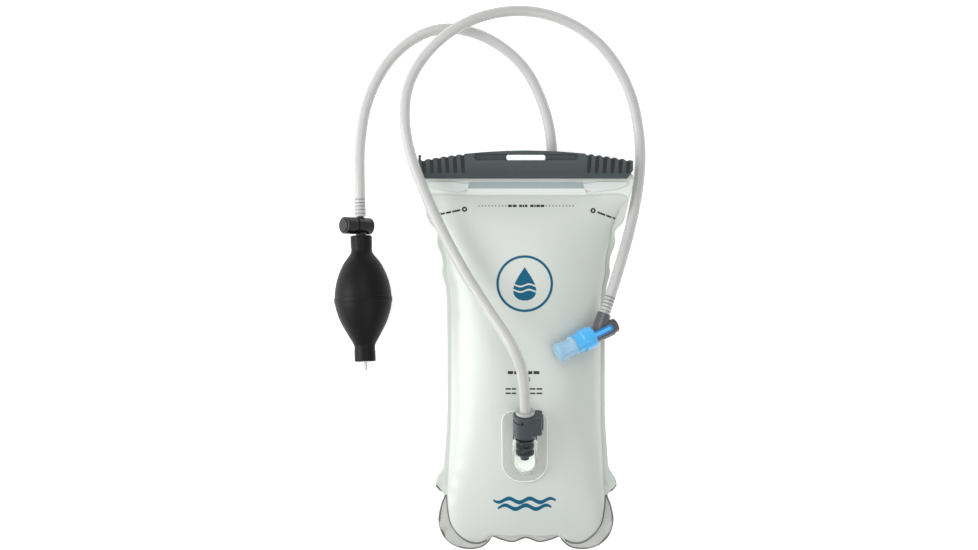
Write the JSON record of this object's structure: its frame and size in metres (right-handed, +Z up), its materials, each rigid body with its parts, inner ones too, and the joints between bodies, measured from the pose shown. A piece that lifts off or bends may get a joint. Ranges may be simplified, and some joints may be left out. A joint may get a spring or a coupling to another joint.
{
  "type": "hydration bladder",
  "caption": "Filled drinking-water bladder lying on its back, with a slide closure, clear drinking hose with a twist bite valve, and a second hose to a squeeze pump.",
  "frame": {"origin": "middle of the flat patch of the back panel that the filled bag rests on", "axes": "+Z up from the table, through the front panel; +Y along the bag towards the slide closure; +X across the bag, towards the side where the bite valve lies"},
  "size_m": [0.2737, 0.4759, 0.1029],
  "materials": {
    "film": "soft clear-matt film",
    "clear_moulding": "clear soft moulding",
    "pale_moulding": "satin",
    "bar_plastic": "fine satin moulding",
    "connector_plastic": "satin moulding",
    "hose": "clear-matt soft hose",
    "valve_grey": "satin moulding",
    "valve_blue": "gloss moulding",
    "silicone_blue": "clear silicone",
    "black_rubber": "matt rubber",
    "black_plastic": "satin moulding",
    "seal_rubber": "smooth",
    "spring_steel": "drawn wire",
    "steel_ball": "polished"
  },
  "bodies": {
    "reservoir": {"front_panel": "film", "back_panel": "film", "outlet_port": "clear_moulding", "air_port": "clear_moulding", "front_bead": "pale_moulding", "back_bead": "pale_moulding", "front_stiffener": "pale_moulding", "back_stiffener": "pale_moulding", "outlet_socket": "connector_plastic", "outlet_latch_spring": "spring_steel", "air_socket": "connector_plastic", "air_latch_spring": "spring_steel", "drink_hose": "hose", "air_hose": "hose", "valve_elbow": "valve_grey", "valve_seal": "seal_rubber", "shut_off_plug": "valve_grey", "squeeze_bulb": "black_rubber", "intake_valve": "clear_moulding", "pump_tee": "black_plastic", "vent_barrel": "black_plastic", "tee_cap": "black_plastic", "vent_spring": "spring_steel"},
    "slide_bar": {"slide_bar": "bar_plastic"},
    "outlet_latch": {"outlet_latch": "connector_plastic"},
    "air_latch": {"air_latch": "connector_plastic"},
    "outlet_plug": {"outlet_plug": "clear_moulding", "outlet_plug_seal": "seal_rubber", "outlet_plug_collar": "clear_moulding"},
    "air_plug": {"air_plug": "clear_moulding", "air_plug_seal": "seal_rubber", "air_plug_collar": "clear_moulding"},
    "bite_valve": {"valve_collar": "valve_blue", "mouthpiece": "silicone_blue"},
    "vent_button": {"vent_button": "black_plastic"},
    "intake_ball": {"intake_ball": "steel_ball"},
    "delivery_ball": {"delivery_ball": "steel_ball"}
  },
  "joints": [
    {"name": "bar_slide", "type": "slide", "parent": "reservoir", "child": "slide_bar", "axis": [-1, 0, 0], "range_m": [0, 0.195]},
    {"name": "outlet_latch_press", "type": "slide", "parent": "reservoir", "child": "outlet_latch", "axis": [-1, 0, 0], "range_m": [0, 0.002], "stiffness_N_per_m": 800, "springref_m": -0.001, "deforming": ["outlet_latch_spring"]},
    {"name": "air_latch_press", "type": "slide", "parent": "reservoir", "child": "air_latch", "axis": [1, 0, 0], "range_m": [0, 0.002], "stiffness_N_per_m": 800, "springref_m": -0.001, "deforming": ["air_latch_spring"]},
    {"name": "outlet_plug_pull", "type": "slide", "parent": "reservoir", "child": "outlet_plug", "axis": [0, 0.9061, 0.4231], "range_m": [0, 0.018], "deforming": ["drink_hose"]},
    {"name": "air_plug_pull", "type": "slide", "parent": "reservoir", "child": "air_plug", "axis": [0, 1, 0], "range_m": [0, 0.018], "deforming": ["air_hose"]},
    {"name": "bite_valve_twist", "type": "hinge", "parent": "reservoir", "child": "bite_valve", "pos_m": [0.07809, 0.02205, 0.05141], "axis": [0.8506, 0.3993, -0.3422], "range_deg": [0, 90]},
    {"name": "vent_press", "type": "slide", "parent": "reservoir", "child": "vent_button", "axis": [0.7426, -0.0196, -0.6694], "range_m": [0, 0.0025], "stiffness_N_per_m": 600, "springref_m": -0.001, "deforming": ["vent_spring"]},
    {"name": "intake_ball_lift", "type": "slide", "parent": "reservoir", "child": "intake_ball", "axis": [-0.0366, 0.9969, -0.0698], "range_m": [0, 0.001]},
    {"name": "delivery_ball_lift", "type": "slide", "parent": "reservoir", "child": "delivery_ball", "axis": [-0.0366, 0.9969, -0.0698], "range_m": [0, 0.001]}
  ]
}
